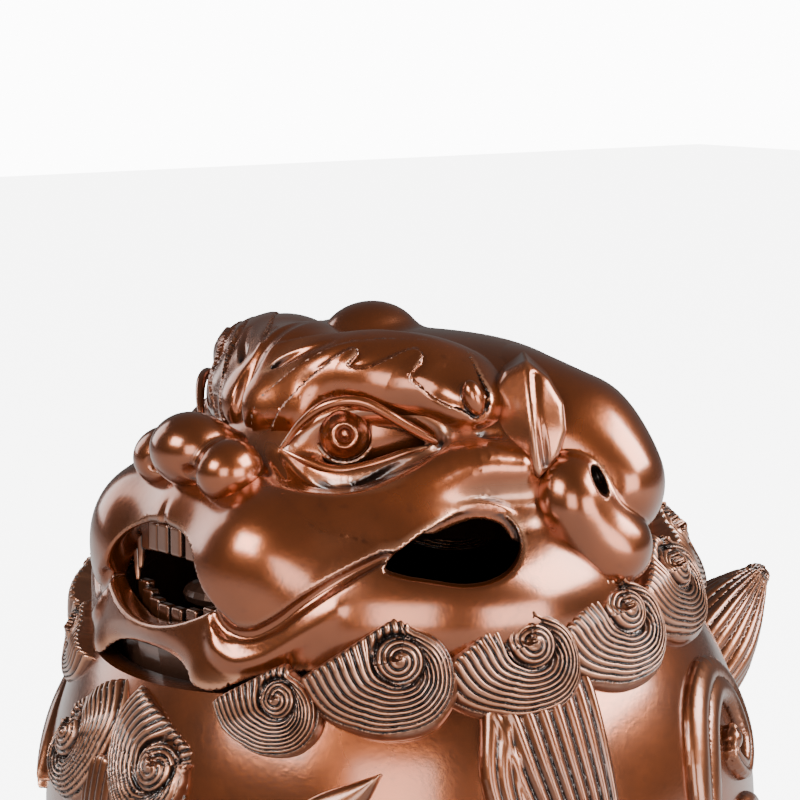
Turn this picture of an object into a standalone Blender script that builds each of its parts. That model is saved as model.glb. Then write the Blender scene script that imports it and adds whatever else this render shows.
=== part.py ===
"""Foo dog incense burner.

A globular bowl on four short legs is the dog's body. Its hollow head, fringed by a row of
curled locks, is the lid, and tilts back on a hinge at the nape. The dog faces -Y and its
left side is +X. The origin is on the ground, under the middle of the whole figure.

Shapes are worked out in millimetres about the body's own upright axis, then moved by
BODY_Y and scaled to metres.
"""

import math

import bmesh
import bpy
from mathutils import Matrix, Vector

MM = 0.001
BODY_Y = -11.44                      # the bowl's axis, forward of the origin

# Bowl
BOWL_CENTRE = Vector((0, 0, 85))
BOWL_R = 79.0
BOWL_WALL = 3.2
RIM_TILT = math.radians(10)          # the rim rises towards the tail
RIM_H = 49.5                         # rim plane above the bowl's centre, along the tilted axis
GAP = 0.3                            # between pieces that rest on each other
RELIEF_GAP = 0.6                     # relief inner face above the bowl, facets included
RELIEF_RISE = 3.0

# Head shell: centre, radii
SKULL = (Vector((0, -4, 150)), Vector((66, 60, 41)))
SKULL_INSIDE = (Vector((0, -3, 149)), Vector((60, 52, 35)))
MUZZLE = (Vector((0, -43, 153)), Vector((37, 25, 19)))
JAW = (Vector((0, -33, 131.5)), Vector((46, 34.5, 16)))
HEAD_CUT_GROWTH = 0.4                # how far pieces on the head stand off its surface
SKIRT_R = (56.6, 61.2)               # inner and outer radius of the shell's lower rim
WELL_R = 56.1                        # room inside the skirt for the locating ring
MANE_H = 60.3                        # hairline height above the bowl's centre
MANE_FRONT = 27                      # degrees each side of the front with no curls
MOUTH = (Vector((0, 0, 144.5)), 18.5, 8.5)
CORNER_HOLE = (-25.5, 156.2, 5.6)    # Y, Z and radius of the round end of each mouth corner
CORNER_TIP = (-44, 153.6)

# Mane: degrees from the front, disc radius
CURL_R = 12.2
CURL_ANGLES = (38, 60, 82, 104, 126)
NAPE_ANGLE = 148
CURL_LEAN = math.radians(18.3)       # the curls lean out over the bowl
CURL_RHO = 65.7                      # inner face at CURL_H
CURL_H = 50.6
CURL_THICK = 5.4
CURL_TOP = 7.9
CURL_BOTTOM = 36.5                   # no relief on the bowl reaches higher than this

# Hinge, in the rim's frame: distance behind the bowl's axis, height
HINGE_BACK = 74.5
HINGE_H = 41.0
KNUCKLE_R = 4.5
KNUCKLE_HALF = 6.0
EAR_OUTER = 11.0
PIN_R = 1.6
PIN_BORE = 1.95

BRONZE = (0.26, 0.105, 0.055)
DARK_BRONZE = (0.12, 0.05, 0.03)

WORLD = Matrix.Scale(MM, 4) @ Matrix.Translation((0, BODY_Y, 0))
RIM_FRAME = Matrix.Translation(BOWL_CENTRE) @ Matrix.Rotation(RIM_TILT, 4, "X")


def rim_point(angle, rho, height):
    """A point by degrees round from the front (positive on the left), radius and height."""
    turn = math.radians(angle)
    return RIM_FRAME @ Vector((rho * math.sin(turn), -rho * math.cos(turn), height))


HINGE = RIM_FRAME @ Vector((0, HINGE_BACK, HINGE_H))


# ---------------------------------------------------------------- scene and helpers

def clear_scene():
    for obj in list(bpy.data.objects):
        bpy.data.objects.remove(obj, do_unlink=True)


def new_collection(name):
    collection = bpy.data.collections.new(name)
    bpy.context.scene.collection.children.link(collection)
    return collection


clear_scene()
PARTS = new_collection("foo_dog_incense_burner")
CUTTERS = new_collection("cutters")

PIVOT = bpy.data.objects.new("head_pivot", None)
PIVOT.location = WORLD @ HINGE
PARTS.objects.link(PIVOT)


def paint(obj, colour, roughness, metallic):
    material = bpy.data.materials.new(obj.name)
    material.use_nodes = True
    shader = material.node_tree.nodes["Principled BSDF"]
    shader.inputs["Base Color"].default_value = (*colour, 1)
    shader.inputs["Roughness"].default_value = roughness
    shader.inputs["Metallic"].default_value = metallic
    obj.data.materials.append(material)


def add_part(name, bm, on_head=False, colour=BRONZE, roughness=0.35):
    """A sub-part from a bmesh in millimetres; those of the head hang from its pivot."""
    obj = add_mesh(name, bm, PARTS)
    if on_head:
        obj.parent = PIVOT
        obj.location = -PIVOT.location
    obj.data.shade_smooth()
    paint(obj, colour, roughness, 1.0)
    return obj


def add_mesh(name, bm, collection):
    bm.transform(WORLD)
    bmesh.ops.recalc_face_normals(bm, faces=bm.faces[:])
    mesh = bpy.data.meshes.new(name)
    bm.to_mesh(mesh)
    bm.free()
    obj = bpy.data.objects.new(name, mesh)
    collection.objects.link(obj)
    return obj


def add_cutter(name, bm):
    obj = add_mesh(name, bm, CUTTERS)
    obj.hide_render = True
    obj.display_type = "WIRE"
    return obj


def boolean(obj, cutter, operation="DIFFERENCE"):
    modifier = obj.modifiers.new(f"{operation.lower()} {cutter.name}", "BOOLEAN")
    modifier.solver = "EXACT"
    modifier.operation = operation
    modifier.object = cutter


def ellipsoid(centre, radii, turn=None, segments=20, rings=10):
    bm = bmesh.new()
    bmesh.ops.create_uvsphere(bm, u_segments=segments, v_segments=rings, radius=1)
    scale = Matrix.Diagonal((*radii, 1))
    bm.transform(Matrix.Translation(centre) @ (turn or Matrix()) @ scale)
    return bm


def box(low, high, frame=None):
    low, high = Vector(low), Vector(high)
    bm = bmesh.new()
    bmesh.ops.create_cube(bm, size=1)
    place = Matrix.Translation((low + high) / 2) @ Matrix.Diagonal((*(high - low), 1))
    bm.transform((frame or Matrix()) @ place)
    return bm


def rod(radius, start, end, frame=None, segments=24):
    """A cylinder from start to end."""
    start, end = Vector(start), Vector(end)
    bm = bmesh.new()
    bmesh.ops.create_cone(bm, cap_ends=True, segments=segments, radius1=radius, radius2=radius,
                          depth=(end - start).length)
    turn = (end - start).to_track_quat("Z", "Y").to_matrix().to_4x4()
    bm.transform((frame or Matrix()) @ Matrix.Translation((start + end) / 2) @ turn)
    return bm


def loft(rings):
    """One closed skin over rings that have the same number of points, capped at both ends."""
    bm = bmesh.new()
    rows = [[bm.verts.new(point) for point in ring] for ring in rings]
    count = len(rows[0])
    for lower, upper in zip(rows, rows[1:]):
        for i in range(count):
            j = (i + 1) % count
            bm.faces.new((lower[i], lower[j], upper[j], upper[i]))
    bm.faces.new(rows[0][::-1])
    bm.faces.new(rows[-1])
    return bm


def swept(path, sides=14):
    """A loft along path, a list of (centre, direction, side, half width, half height)."""
    rings = []
    for centre, direction, side, width, height in path:
        forward = Vector(direction).normalized()
        across = (Vector(side) - forward * forward.dot(Vector(side))).normalized()
        up = forward.cross(across)
        ring = []
        for i in range(sides):
            turn = 2 * math.pi * i / sides
            ring.append(Vector(centre) + across * width * math.cos(turn)
                        + up * height * math.sin(turn))
        rings.append(ring)
    return loft(rings)


def prism(outline, depth, frame):
    """A flat outline in the frame's XY plane, raised from depth[0] to depth[1] along its Z."""
    rings = [[frame @ Vector((x, y, z)) for x, y in outline] for z in depth]
    return loft(rings)


def arc(centre, radius, start, end, steps):
    """Points of a circular arc, angles in degrees."""
    points = []
    for i in range(steps + 1):
        turn = math.radians(start + (end - start) * i / steps)
        points.append((centre[0] + radius * math.cos(turn), centre[1] + radius * math.sin(turn)))
    return points


def turned(name, profile, frame, steps=40, collection=PARTS):
    """A profile of (radius, height), closed on the axis or on itself, turned about frame's Z."""
    bm = bmesh.new()
    verts = [bm.verts.new((x, 0, z)) for x, z in profile]
    for a, b in zip(verts, verts[1:]):
        bm.edges.new((a, b))
    if profile[0][0] > 0:
        bm.edges.new((verts[-1], verts[0]))
    mesh = bpy.data.meshes.new(name)
    bm.to_mesh(mesh)
    bm.free()
    obj = bpy.data.objects.new(name, mesh)
    obj.matrix_world = WORLD @ frame
    collection.objects.link(obj)
    screw = obj.modifiers.new("turn", "SCREW")
    screw.steps = steps
    screw.render_steps = steps
    screw.use_merge_vertices = True
    screw.merge_threshold = 0.00005
    return obj


def mirrored(point, side):
    return Vector((point[0] * side, point[1], point[2]))


# ---------------------------------------------------------------- bowl and what is on it

def ball_cutter(name, radius):
    return add_cutter(name, ellipsoid(BOWL_CENTRE, (radius,) * 3, segments=48, rings=24))


def mane_zone(low):
    """The ring round the bowl's mouth, from low to the hairline and open at the front."""
    rings = []
    steps = 30
    for i in range(steps + 1):
        angle = MANE_FRONT + (360 - 2 * MANE_FRONT) * i / steps
        corners = ((SKIRT_R[1] + GAP, low), (120, low), (120, MANE_H), (SKIRT_R[1] + GAP, MANE_H))
        rings.append([rim_point(angle, rho, height) for rho, height in corners])
    return loft(rings)


BOWL_SOLID = ball_cutter("bowl_solid", BOWL_R + RELIEF_GAP)
RELIEF_LIMIT = ball_cutter("relief_limit", BOWL_R + RELIEF_GAP + RELIEF_RISE)
CURL_ROOM = add_cutter("curl_room", mane_zone(CURL_BOTTOM))
ABOVE_RIM = add_cutter("above_rim", box((-150, -150, RIM_H - 3), (150, 150, 150), RIM_FRAME))


def build_bowl():
    """The wall runs up its inner face, over a flat rim and down its outer face."""
    inner = BOWL_R - BOWL_WALL
    steps = 10
    inner_top = math.asin(RIM_H / inner)
    outer_top = math.asin(RIM_H / BOWL_R)
    profile = []
    for i in range(steps + 1):
        turn = -math.pi / 2 + (inner_top + math.pi / 2) * i / steps
        profile.append((inner * math.cos(turn) if i else 0, inner * math.sin(turn)))
    for i in range(steps + 1):
        turn = outer_top + (-math.pi / 2 - outer_top) * i / steps
        last = i == steps
        profile.append((0 if last else BOWL_R * math.cos(turn), BOWL_R * math.sin(turn)))
    bowl = turned("bowl_shell", profile, RIM_FRAME)
    bowl.data.shade_smooth()
    paint(bowl, BRONZE, 0.3, 1.0)


def surface_frame(direction, spin=0):
    """A frame on the bowl's centre line: Z points out along direction, Y as near up as it can."""
    out = Vector(direction).normalized()
    across = Vector((0, 0, 1)).cross(out).normalized()
    up = out.cross(across)
    axes = Matrix((across, up, out)).transposed().to_4x4()
    return Matrix.Translation(BOWL_CENTRE) @ axes @ Matrix.Rotation(spin, 4, "Z")


def build_relief(name, outline, direction, side, spin=0):
    """Raised ornament on the bowl: an outline pushed out through a thin spherical layer."""
    flipped = [(x * side, y) for x, y in outline]
    frame = surface_frame(mirrored(direction, side), spin * side)
    part = add_part(name, prism(flipped, (50, 110), frame))
    boolean(part, RELIEF_LIMIT, "INTERSECT")
    for cutter in (BOWL_SOLID, CURL_ROOM, ABOVE_RIM):
        boolean(part, cutter)


def build_ornaments():
    spiral = arc((0, 0), 13, -150, 60, 14) + [(4, 22), (-9, 21)]
    flank = [(-13, 14), (12, 14), (9, -20), (6, -42), (-1, -34), (-8, -12)]
    scroll = arc((0, 0), 11, -60, 150, 12) + [(-16, -12), (-14, -38), (-5, -22)]
    flame = [(-15, -3), (-2, 4), (7, 9), (4, 3), (13, 1), (3, -8), (-8, -8)]
    for side, word in ((1, "left"), (-1, "right")):
        build_relief(f"chest_curl_{word}", spiral, (15, -74, 21), side)
        build_relief(f"flank_lock_{word}", flank, (77, -16, 14), side)
        build_relief(f"haunch_scroll_{word}", scroll, (66, 33, 22), side)
        build_relief(f"shoulder_flame_{word}", flame, (58, -50, 16), side)
    build_relief("chest_lock", [(-5, 8), (0, 10), (5, 8), (3, -14), (0, -20), (-3, -14)],
                 (0, -76, -6), 1)


def build_leg(word, end, side, foot, hip):
    """A short stout leg that ends in a paw with four toes; foot and hip are (x, y)."""
    fx, fy = foot
    hx, hy = hip
    ahead = -1
    path = [((fx * side, fy, 0), (0, 0, 1), (1, 0, 0), 17, 21),
            ((fx * side, fy, 8), (0, 0, 1), (1, 0, 0), 18.5, 22),
            ((fx * side, fy - 3 * ahead, 17), (0, 0, 1), (1, 0, 0), 16, 18),
            ((fx * side, fy - 5 * ahead, 27), (0, 0, 1), (1, 0, 0), 15, 16),
            ((hx * side, hy, 44), (0, 0, 1), (1, 0, 0), 18, 20),
            ((hx * side, hy, 62), (0, 0, 1), (1, 0, 0), 17, 22)]
    leg = add_part(f"leg_{end}_{word}", swept(path, 16))
    boolean(leg, BOWL_SOLID)
    for toe in range(4):
        across = (toe - 1.5) * 8.6
        reach = 20 - abs(toe - 1.5) * 2.4
        centre = ((fx + across) * side, fy + ahead * reach, 6.2)
        ball = ellipsoid(centre, (4.8, 8, 7), segments=10, rings=6)
        boolean(leg, add_cutter(f"toe_{end}_{word}_{toe + 1}", ball), "UNION")
    floor = box((-120, -140, -20), (120, 140, 0))
    boolean(leg, add_cutter(f"floor_{end}_{word}", floor))


def build_tail():
    """A bushy tail that curls up behind to a point."""
    spine = [((0, 70, 88), (0, 1, 0.2), 9, 9), ((0, 84, 92), (0, 1, 0.35), 12, 12),
             ((0, 93, 99), (0, 1, 0.8), 13, 13), ((0, 100, 107), (0, 0.8, 1), 11, 11),
             ((0, 106, 114), (0, 1, 0.8), 7, 6), ((0, 114, 121), (0, 1, 0.7), 1.5, 1.2)]
    path = [(centre, way, (1, 0, 0), wide, high) for centre, way, wide, high in spine]
    tail = add_part("tail", swept(path, 16))
    boolean(tail, BOWL_SOLID)


# ---------------------------------------------------------------- hinge

def build_hinge():
    axis = (HINGE_BACK, HINGE_H)
    lug = add_part("bowl_hinge_lug", box((-EAR_OUTER, 60, 24), (EAR_OUTER, 77, 35.6), RIM_FRAME))
    for side, word in ((1, "left"), (-1, "right")):
        inner = (KNUCKLE_HALF + 0.4) * side
        outer = EAR_OUTER * side
        low, high = sorted((inner, outer))
        arm = box((low, 60, 30), (high, axis[0] + 3.6, axis[1]), RIM_FRAME)
        knuckle = rod(KNUCKLE_R, (inner, *axis), (outer, *axis), RIM_FRAME)
        boolean(lug, add_cutter(f"bowl_arm_{word}", arm), "UNION")
        boolean(lug, add_cutter(f"bowl_knuckle_{word}", knuckle), "UNION")
    bore = add_cutter("pin_bore", rod(PIN_BORE, (-40, *axis), (40, *axis), RIM_FRAME))
    boolean(lug, BOWL_SOLID)
    boolean(lug, bore)

    head_lug = add_part("head_hinge_lug", rod(KNUCKLE_R, (-KNUCKLE_HALF, *axis),
                                              (KNUCKLE_HALF, *axis), RIM_FRAME), True)
    strap = box((-KNUCKLE_HALF, 67.6, HINGE_H + 1), (KNUCKLE_HALF, 73.5, 67), RIM_FRAME)
    boolean(head_lug, add_cutter("head_strap", strap), "UNION")
    boolean(head_lug, bore)

    half = EAR_OUTER + 0.5
    profile = [(0, half + 1.5), (2.7, half + 1.5), (2.7, half), (PIN_R, half),
               (PIN_R, -half), (2.7, -half), (2.7, -half - 1.5), (0, -half - 1.5)]
    along = RIM_FRAME @ Matrix.Translation((0, *axis)) @ Matrix.Rotation(math.pi / 2, 4, "Y")
    pin = turned("hinge_pin", profile, along, steps=24)
    pin.data.shade_smooth()
    paint(pin, BRONZE, 0.3, 1.0)


# ---------------------------------------------------------------- head

def grown(part, growth):
    centre, radii = part
    return ellipsoid(centre, radii + Vector((growth,) * 3), segments=36, rings=18)


HEAD_SURFACE = []


def stand_on_head(obj):
    """Trims a piece to the head shell's outer surface."""
    if not HEAD_SURFACE:
        for name, part in (("skull", SKULL), ("muzzle", MUZZLE), ("jaw", JAW)):
            HEAD_SURFACE.append(add_cutter(f"{name}_surface", grown(part, HEAD_CUT_GROWTH)))
    for cutter in HEAD_SURFACE:
        boolean(obj, cutter)


def mouth_bar(growth):
    centre, half_width, half_height = MOUTH
    radii = (half_width + growth, half_height + growth)
    outline = [(radii[0] * math.cos(math.radians(a)), radii[1] * math.sin(math.radians(a)))
               for a in range(0, 360, 15)]
    frame = Matrix.Translation(centre) @ Matrix.Rotation(math.pi / 2, 4, "X")
    return prism(outline, (30, 100), frame)


def corner_holes():
    """A tapered slot through both cheeks, pointed at the front."""
    y, z, radius = CORNER_HOLE
    outline = [CORNER_TIP] + arc((y, z), radius, -100, 115, 12)
    rings = [[Vector((x, py, pz)) for py, pz in outline] for x in (-90, 90)]
    return loft(rings)


def build_head_shell():
    head = add_part("head_shell", grown(SKULL, 0), True)
    for name, part in (("muzzle", MUZZLE), ("jaw", JAW)):
        boolean(head, add_cutter(name, grown(part, 0)), "UNION")
    inside = ellipsoid(*SKULL_INSIDE, segments=32, rings=16)
    boolean(head, add_cutter("head_inside", inside))
    below = box((-150, -150, -150), (150, 150, RIM_H + GAP), RIM_FRAME)
    boolean(head, add_cutter("below_rim", below))
    well = rod(WELL_R, (0, 0, 20), (0, 0, 58), RIM_FRAME, segments=48)
    boolean(head, add_cutter("head_well", well))
    boolean(head, add_cutter("mane_zone", mane_zone(30)))
    inner, outer = SKIRT_R
    low, high = RIM_H + GAP, MANE_H + 1
    skirt = turned("skirt", [(inner, low), (inner, high), (outer, high), (outer, low)],
                   RIM_FRAME, collection=CUTTERS)
    skirt.hide_render = True
    skirt.display_type = "WIRE"
    boolean(head, skirt, "UNION")
    boolean(head, add_cutter("mouth_opening", mouth_bar(0)))
    boolean(head, add_cutter("corner_openings", corner_holes()))


def build_flange():
    """The ring that locates the head in the bowl's rim."""
    outer = WELL_R - 2 * GAP
    inner = outer - 3.5
    profile = [(inner, 43), (inner, 57), (outer, 57), (outer, 43)]
    flange = turned("lid_flange", profile, RIM_FRAME)
    flange.parent = PIVOT
    flange.matrix_parent_inverse = Matrix.Translation(-PIVOT.location)
    paint(flange, DARK_BRONZE, 0.45, 1.0)


def build_teeth(name, edge, tip, colour=BRONZE):
    """A row of blunt teeth set in the mouth, from the gum at edge to the tips."""
    half, teeth = 13.5, 7
    depth = (-61, -56)
    outline = [(-half, edge), (half, edge)]
    for i in range(teeth):
        right = half - 2 * half * i / teeth
        left = half - 2 * half * (i + 1) / teeth
        outline += [(right - 0.5, tip), (left + 0.5, tip)]
        if i < teeth - 1:
            outline.append((left, (tip * 2 + edge) / 3))
    rings = [[Vector((x, y, z)) for x, z in outline] for y in depth]
    row = add_part(name, loft(rings), True, colour)
    boolean(row, add_cutter(f"{name}_limit", mouth_bar(-GAP)), "INTERSECT")


def build_mouth_parts():
    build_teeth("upper_teeth", 156, 148.6)
    build_teeth("lower_teeth", 133, 140.4)
    tongue = add_part("tongue", ellipsoid((0, -49.5, 138), (9, 5.6, 3.4), segments=16, rings=8),
                      True)
    boolean(tongue, add_cutter("tongue_limit", mouth_bar(-GAP)), "INTERSECT")


def build_nose():
    nose = add_part("nose", ellipsoid((0, -55, 169), (9, 9, 9)), True)
    for side, word in ((1, "left"), (-1, "right")):
        wing = ellipsoid((9.5 * side, -54.5, 166.5), (7.5, 8, 6.5), segments=16, rings=8)
        boolean(nose, add_cutter(f"nose_wing_{word}", wing), "UNION")
    stand_on_head(nose)


def ear_shape(side, growth):
    """An upright leaf that stands against the side of the head."""
    leaf = (((57, -13, 164), 8, 3), ((60, -14, 172), 9, 4), ((59.5, -14, 180), 7, 3.6),
            ((57, -15, 187), 4, 2.4), ((55, -16, 192), 0.8, 0.8))
    path = [(mirrored(centre, side), (0, 0, 1), (side * 0.35, 1, 0), wide + growth, deep + growth)
            for centre, wide, deep in leaf]
    return swept(path, 12)


def build_face_side(side, word):
    eye = add_part(f"eye_{word}", ellipsoid(mirrored((35, -43.5, 175.5), side), (8.5, 6.5, 6.5)), True)
    stand_on_head(eye)

    turn = Matrix.Rotation(math.radians(38 * side), 4, "Z") @ Matrix.Rotation(
        math.radians(14 * side), 4, "Y")
    brow = add_part(f"brow_{word}", ellipsoid(mirrored((28, -28, 182), side), (27, 15, 11.5),
                                              turn, segments=24, rings=12), True)
    stand_on_head(brow)
    socket = add_cutter(f"eye_room_{word}", ellipsoid(mirrored((35, -43.5, 175.5), side),
                                                      (9, 7, 7)))
    boolean(brow, socket)

    ear = add_part(f"ear_{word}", ear_shape(side, 0), True)
    stand_on_head(ear)
    boolean(ear, add_cutter(f"brow_room_{word}", ellipsoid(
        mirrored((28, -28, 182), side), (27.5, 15.5, 12), turn)))


def build_horn(side, word):
    """A broad lock that sweeps from the crown back over the head and rolls in below."""
    lobes = (((29, 8, 181), (22, 15, 11)), ((45, 17, 171), (17, 17, 16)),
             ((53, 18, 159), (15, 14, 14)), ((61, 7, 153), (8, 12, 9)))
    horn = add_part(f"horn_{word}", ellipsoid(mirrored(lobes[0][0], side), lobes[0][1]), True)
    for i, (centre, radii) in enumerate(lobes[1:]):
        lobe = ellipsoid(mirrored(centre, side), radii)
        boolean(horn, add_cutter(f"horn_lobe_{word}_{i + 1}", lobe), "UNION")
    stand_on_head(horn)
    boolean(horn, add_cutter(f"horn_mane_room_{word}", mane_top()))
    boolean(horn, add_cutter(f"ear_room_{word}", ear_shape(side, 0.5)))


def mane_top():
    """All that lies below the top of the row of curls."""
    return box((-150, -150, -150), (150, 150, MANE_H + GAP), RIM_FRAME)


def curl_frame(angle, drop=0):
    """Z points out of the curl's face, Y up along it, X across it."""
    turn = math.radians(angle)
    upright = Matrix.Rotation(turn, 4, "Z") @ Matrix.Translation(
        (0, -CURL_RHO, CURL_H - drop)) @ Matrix.Rotation(math.pi / 2 - CURL_LEAN, 4, "X")
    return RIM_FRAME @ upright


def build_curl(name, angle, radius, drop=0):
    """A lock that hangs from the hairline and ends in a round spiral with a raised eye."""
    frame = curl_frame(angle, drop)
    top = CURL_TOP + drop
    outline = arc((0, 0), radius, -180, 0, 14) + [(radius, top), (-radius, top)]
    curl = add_part(name, prism(outline, (0, CURL_THICK - 1.2), frame), True)
    raised = [(x * 0.86, y * 0.86) for x, y in outline]
    boolean(curl, add_cutter(f"{name}_face", prism(raised, (1, CURL_THICK), frame)), "UNION")
    eye = rod(3.2, (0, 0, 1), (0, 0, CURL_THICK + 1.6), frame, segments=12)
    boolean(curl, add_cutter(f"{name}_eye", eye), "UNION")


def build_mane():
    for side, word in ((1, "left"), (-1, "right")):
        for i, angle in enumerate(CURL_ANGLES):
            small = i == 0
            build_curl(f"mane_curl_{word}_{i + 1}", angle * side, CURL_R - 2.2 * small,
                       1.5 * small)
        build_curl(f"nape_curl_{word}", NAPE_ANGLE * side, CURL_R)


build_bowl()
build_ornaments()
for SIDE, WORD in ((1, "left"), (-1, "right")):
    build_leg(WORD, "front", SIDE, (47, -65), (49, -46))
    build_leg(WORD, "rear", SIDE, (50, 38), (51, 42))
build_tail()
build_hinge()
build_head_shell()
build_flange()
build_mouth_parts()
build_nose()
for SIDE, WORD in ((1, "left"), (-1, "right")):
    build_face_side(SIDE, WORD)
    build_horn(SIDE, WORD)
build_mane()
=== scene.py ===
"""Looks of the foo dog incense burner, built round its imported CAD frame.

The bronze is sculpted as distance fields in millimetres about the bowl's upright axis, with
the dog facing -Y and its left side at +X, and each field is then skinned as one mesh piece.
"""

import math

import bpy
import numpy as np
from mathutils import Matrix, Vector


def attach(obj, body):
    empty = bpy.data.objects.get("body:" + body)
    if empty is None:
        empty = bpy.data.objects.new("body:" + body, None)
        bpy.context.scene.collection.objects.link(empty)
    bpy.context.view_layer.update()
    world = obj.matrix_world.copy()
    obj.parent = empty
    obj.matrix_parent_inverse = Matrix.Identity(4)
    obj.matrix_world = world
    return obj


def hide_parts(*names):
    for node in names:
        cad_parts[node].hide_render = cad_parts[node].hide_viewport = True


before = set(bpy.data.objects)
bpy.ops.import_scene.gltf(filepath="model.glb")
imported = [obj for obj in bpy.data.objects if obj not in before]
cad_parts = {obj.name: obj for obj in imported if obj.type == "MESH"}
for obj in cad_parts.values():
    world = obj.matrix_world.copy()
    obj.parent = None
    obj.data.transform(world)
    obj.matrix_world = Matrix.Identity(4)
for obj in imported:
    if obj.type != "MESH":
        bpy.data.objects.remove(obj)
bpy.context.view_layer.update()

# ---------------- fields

MM = 0.001
BODY_Y = -11.44                        # the bowl's axis in the row frame, millimetres
BOWL_CENTRE = np.array((0, 0, 85.0))
BOWL_R = 79.0
BOWL_WALL = 3.2
RIM_TILT = math.radians(10)            # the rim is higher at the back
RIM_H = 49.5                           # from the bowl's centre to the rim, along the tilted axis
CHEEK_YAW = 52                         # the flat of each cheek faces this far from the front
FAR = 6.0                              # the distance given to points well away from a shape


def rows(*points):
    return np.array(points, float)


def unit(vector):
    return np.asarray(vector, float) / np.linalg.norm(vector)


def to_rim(p):
    """Points in the tilted frame of the bowl's rim, whose Z is the bowl's axis."""
    c, s = math.cos(RIM_TILT), math.sin(RIM_TILT)
    q = p - BOWL_CENTRE
    return np.stack((q[:, 0], q[:, 1] * c + q[:, 2] * s, q[:, 2] * c - q[:, 1] * s), 1)


def from_rim(angle, rho, height):
    """A point by degrees round from the front (positive on the left), radius and height."""
    a, c, s = math.radians(angle), math.cos(RIM_TILT), math.sin(RIM_TILT)
    x, y = rho * math.sin(a), -rho * math.cos(a)
    return np.array((x, y * c - height * s, y * s + height * c)) + BOWL_CENTRE


def axes(yaw, pitch=0, roll=0):
    """Columns of a frame turned by roll about Y, pitch about X, then yaw about Z, in degrees."""
    y, p, r = (math.radians(a) for a in (yaw, pitch, roll))
    about_z = rows((math.cos(y), -math.sin(y), 0), (math.sin(y), math.cos(y), 0), (0, 0, 1))
    about_x = rows((1, 0, 0), (0, math.cos(p), -math.sin(p)), (0, math.sin(p), math.cos(p)))
    about_y = rows((math.cos(r), 0, math.sin(r)), (0, 1, 0), (-math.sin(r), 0, math.cos(r)))
    return about_z @ about_x @ about_y


def from_bowl(p):
    return np.linalg.norm(p - BOWL_CENTRE, axis=1)


def egg(p, centre, radii, turn=None):
    """About the distance to an ellipsoid, below 0 inside."""
    q = p - np.array(centre, float)
    if turn is not None:
        q = q @ turn
    radii = np.array(radii, float)
    a = np.linalg.norm(q / radii, axis=1)
    b = np.linalg.norm(q / radii**2, axis=1)
    return a * (a - 1) / np.maximum(b, 1e-6)


def join(a, b, soft):
    """Both fields together, with the crease between them filled over a width of soft."""
    h = np.clip(0.5 + 0.5 * (b - a) / soft, 0, 1)
    return b + (a - b) * h - soft * h * (1 - h)


def cut(a, b, soft):
    """a without b, with the corner between them rounded."""
    return -join(-a, b, soft)


def overlap(a, b, soft):
    """What a and b share, with the corner between them rounded."""
    return -join(-a, -b, soft)


def spline(points, steps=6):
    """A smooth path through rows of coordinates and whatever follows them."""
    points = np.asarray(points, float)
    ends = np.vstack((2 * points[0] - points[1], points, 2 * points[-1] - points[-2]))
    out = []
    for a, b, c, d in zip(ends, ends[1:], ends[2:], ends[3:]):
        for i in range(steps):
            t = i / steps
            out.append(0.5 * (2 * b + (c - a) * t + (2 * a - 5 * b + 4 * c - d) * t * t
                              + (3 * b - a - 3 * c + d) * t**3))
    out.append(points[-1])
    return np.array(out)


def nearest(p, path, dims=3):
    """Distance to a path, where along it that is, and the path's values and direction there."""
    best = np.full(len(p), 1e9)
    values = np.zeros((len(p), path.shape[1]))
    along = np.zeros(len(p))
    heading = np.zeros((len(p), dims))
    for i, (a, b) in enumerate(zip(path, path[1:])):
        step = b[:dims] - a[:dims]
        t = np.clip((p - a[:dims]) @ step / max(step @ step, 1e-12), 0, 1)
        away = np.linalg.norm(p - a[:dims] - t[:, None] * step, axis=1)
        closer = away < best
        best[closer] = away[closer]
        t = t[closer]
        values[closer] = a + t[:, None] * (b - a)
        along[closer] = i + t
        heading[closer] = step / max(np.linalg.norm(step), 1e-9)
    return best, along / (len(path) - 1), values, heading


def close_to(p, path, reach):
    """Which points lie within reach of a path, or little further."""
    low, high = path[:, :3].min(0) - reach, path[:, :3].max(0) + reach
    i = np.flatnonzero(((p > low) & (p < high)).all(1))
    if len(i) == 0:
        return i
    knots = np.vstack((path[::4, :3], path[-1:, :3]))
    slack = np.linalg.norm(np.diff(knots, axis=0), axis=1).max() / 2
    q = p[i]
    away = np.full(len(i), 1e9)
    for knot in knots:
        away = np.minimum(away, ((q - knot) ** 2).sum(1))
    return i[away < (reach + slack) ** 2]


def tube(p, path):
    """A round bar along a path of x, y, z, radius."""
    d = np.full(len(p), FAR)
    i = close_to(p, path, FAR + path[:, 3].max())
    if len(i):
        away, _, values, _ = nearest(p[i], path)
        d[i] = away - values[:, 3]
    return d


def groove(d, p, path, width, depth):
    """A channel pressed in along a path of x, y, z, strength; a ridge where depth is below 0."""
    i = close_to(p, path, 3 * width)
    if len(i):
        away, _, values, _ = nearest(p[i], path)
        d[i] = d[i] + depth * values[:, 3] * np.exp(-(away / width) ** 2)
    return d


def lap(d, p, path, outward, rise, fade, dip=0.5, width=1.0, edge=0.35):
    """A layer that ends along a path of x, y, z, strength: raised on the right of its heading."""
    i = close_to(p, path, 2.5 * fade)
    if len(i):
        away, _, values, heading = nearest(p[i], path)
        side = np.cross(heading, np.asarray(outward, float))
        side /= np.maximum(np.linalg.norm(side, axis=1), 1e-9)[:, None]
        s = ((p[i] - values[:, :3]) * side).sum(1)
        s = np.where(np.abs(s) > away, s, np.copysign(away, s))
        upper = rise * np.exp(-np.maximum(s, 0) / fade)
        lower = -dip * np.exp(np.minimum(s, 0) / width)
        share = 0.5 + 0.5 * np.tanh(s / edge)
        d[i] = d[i] - values[:, 3] * (share * upper + (1 - share) * lower)
    return d


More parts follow.
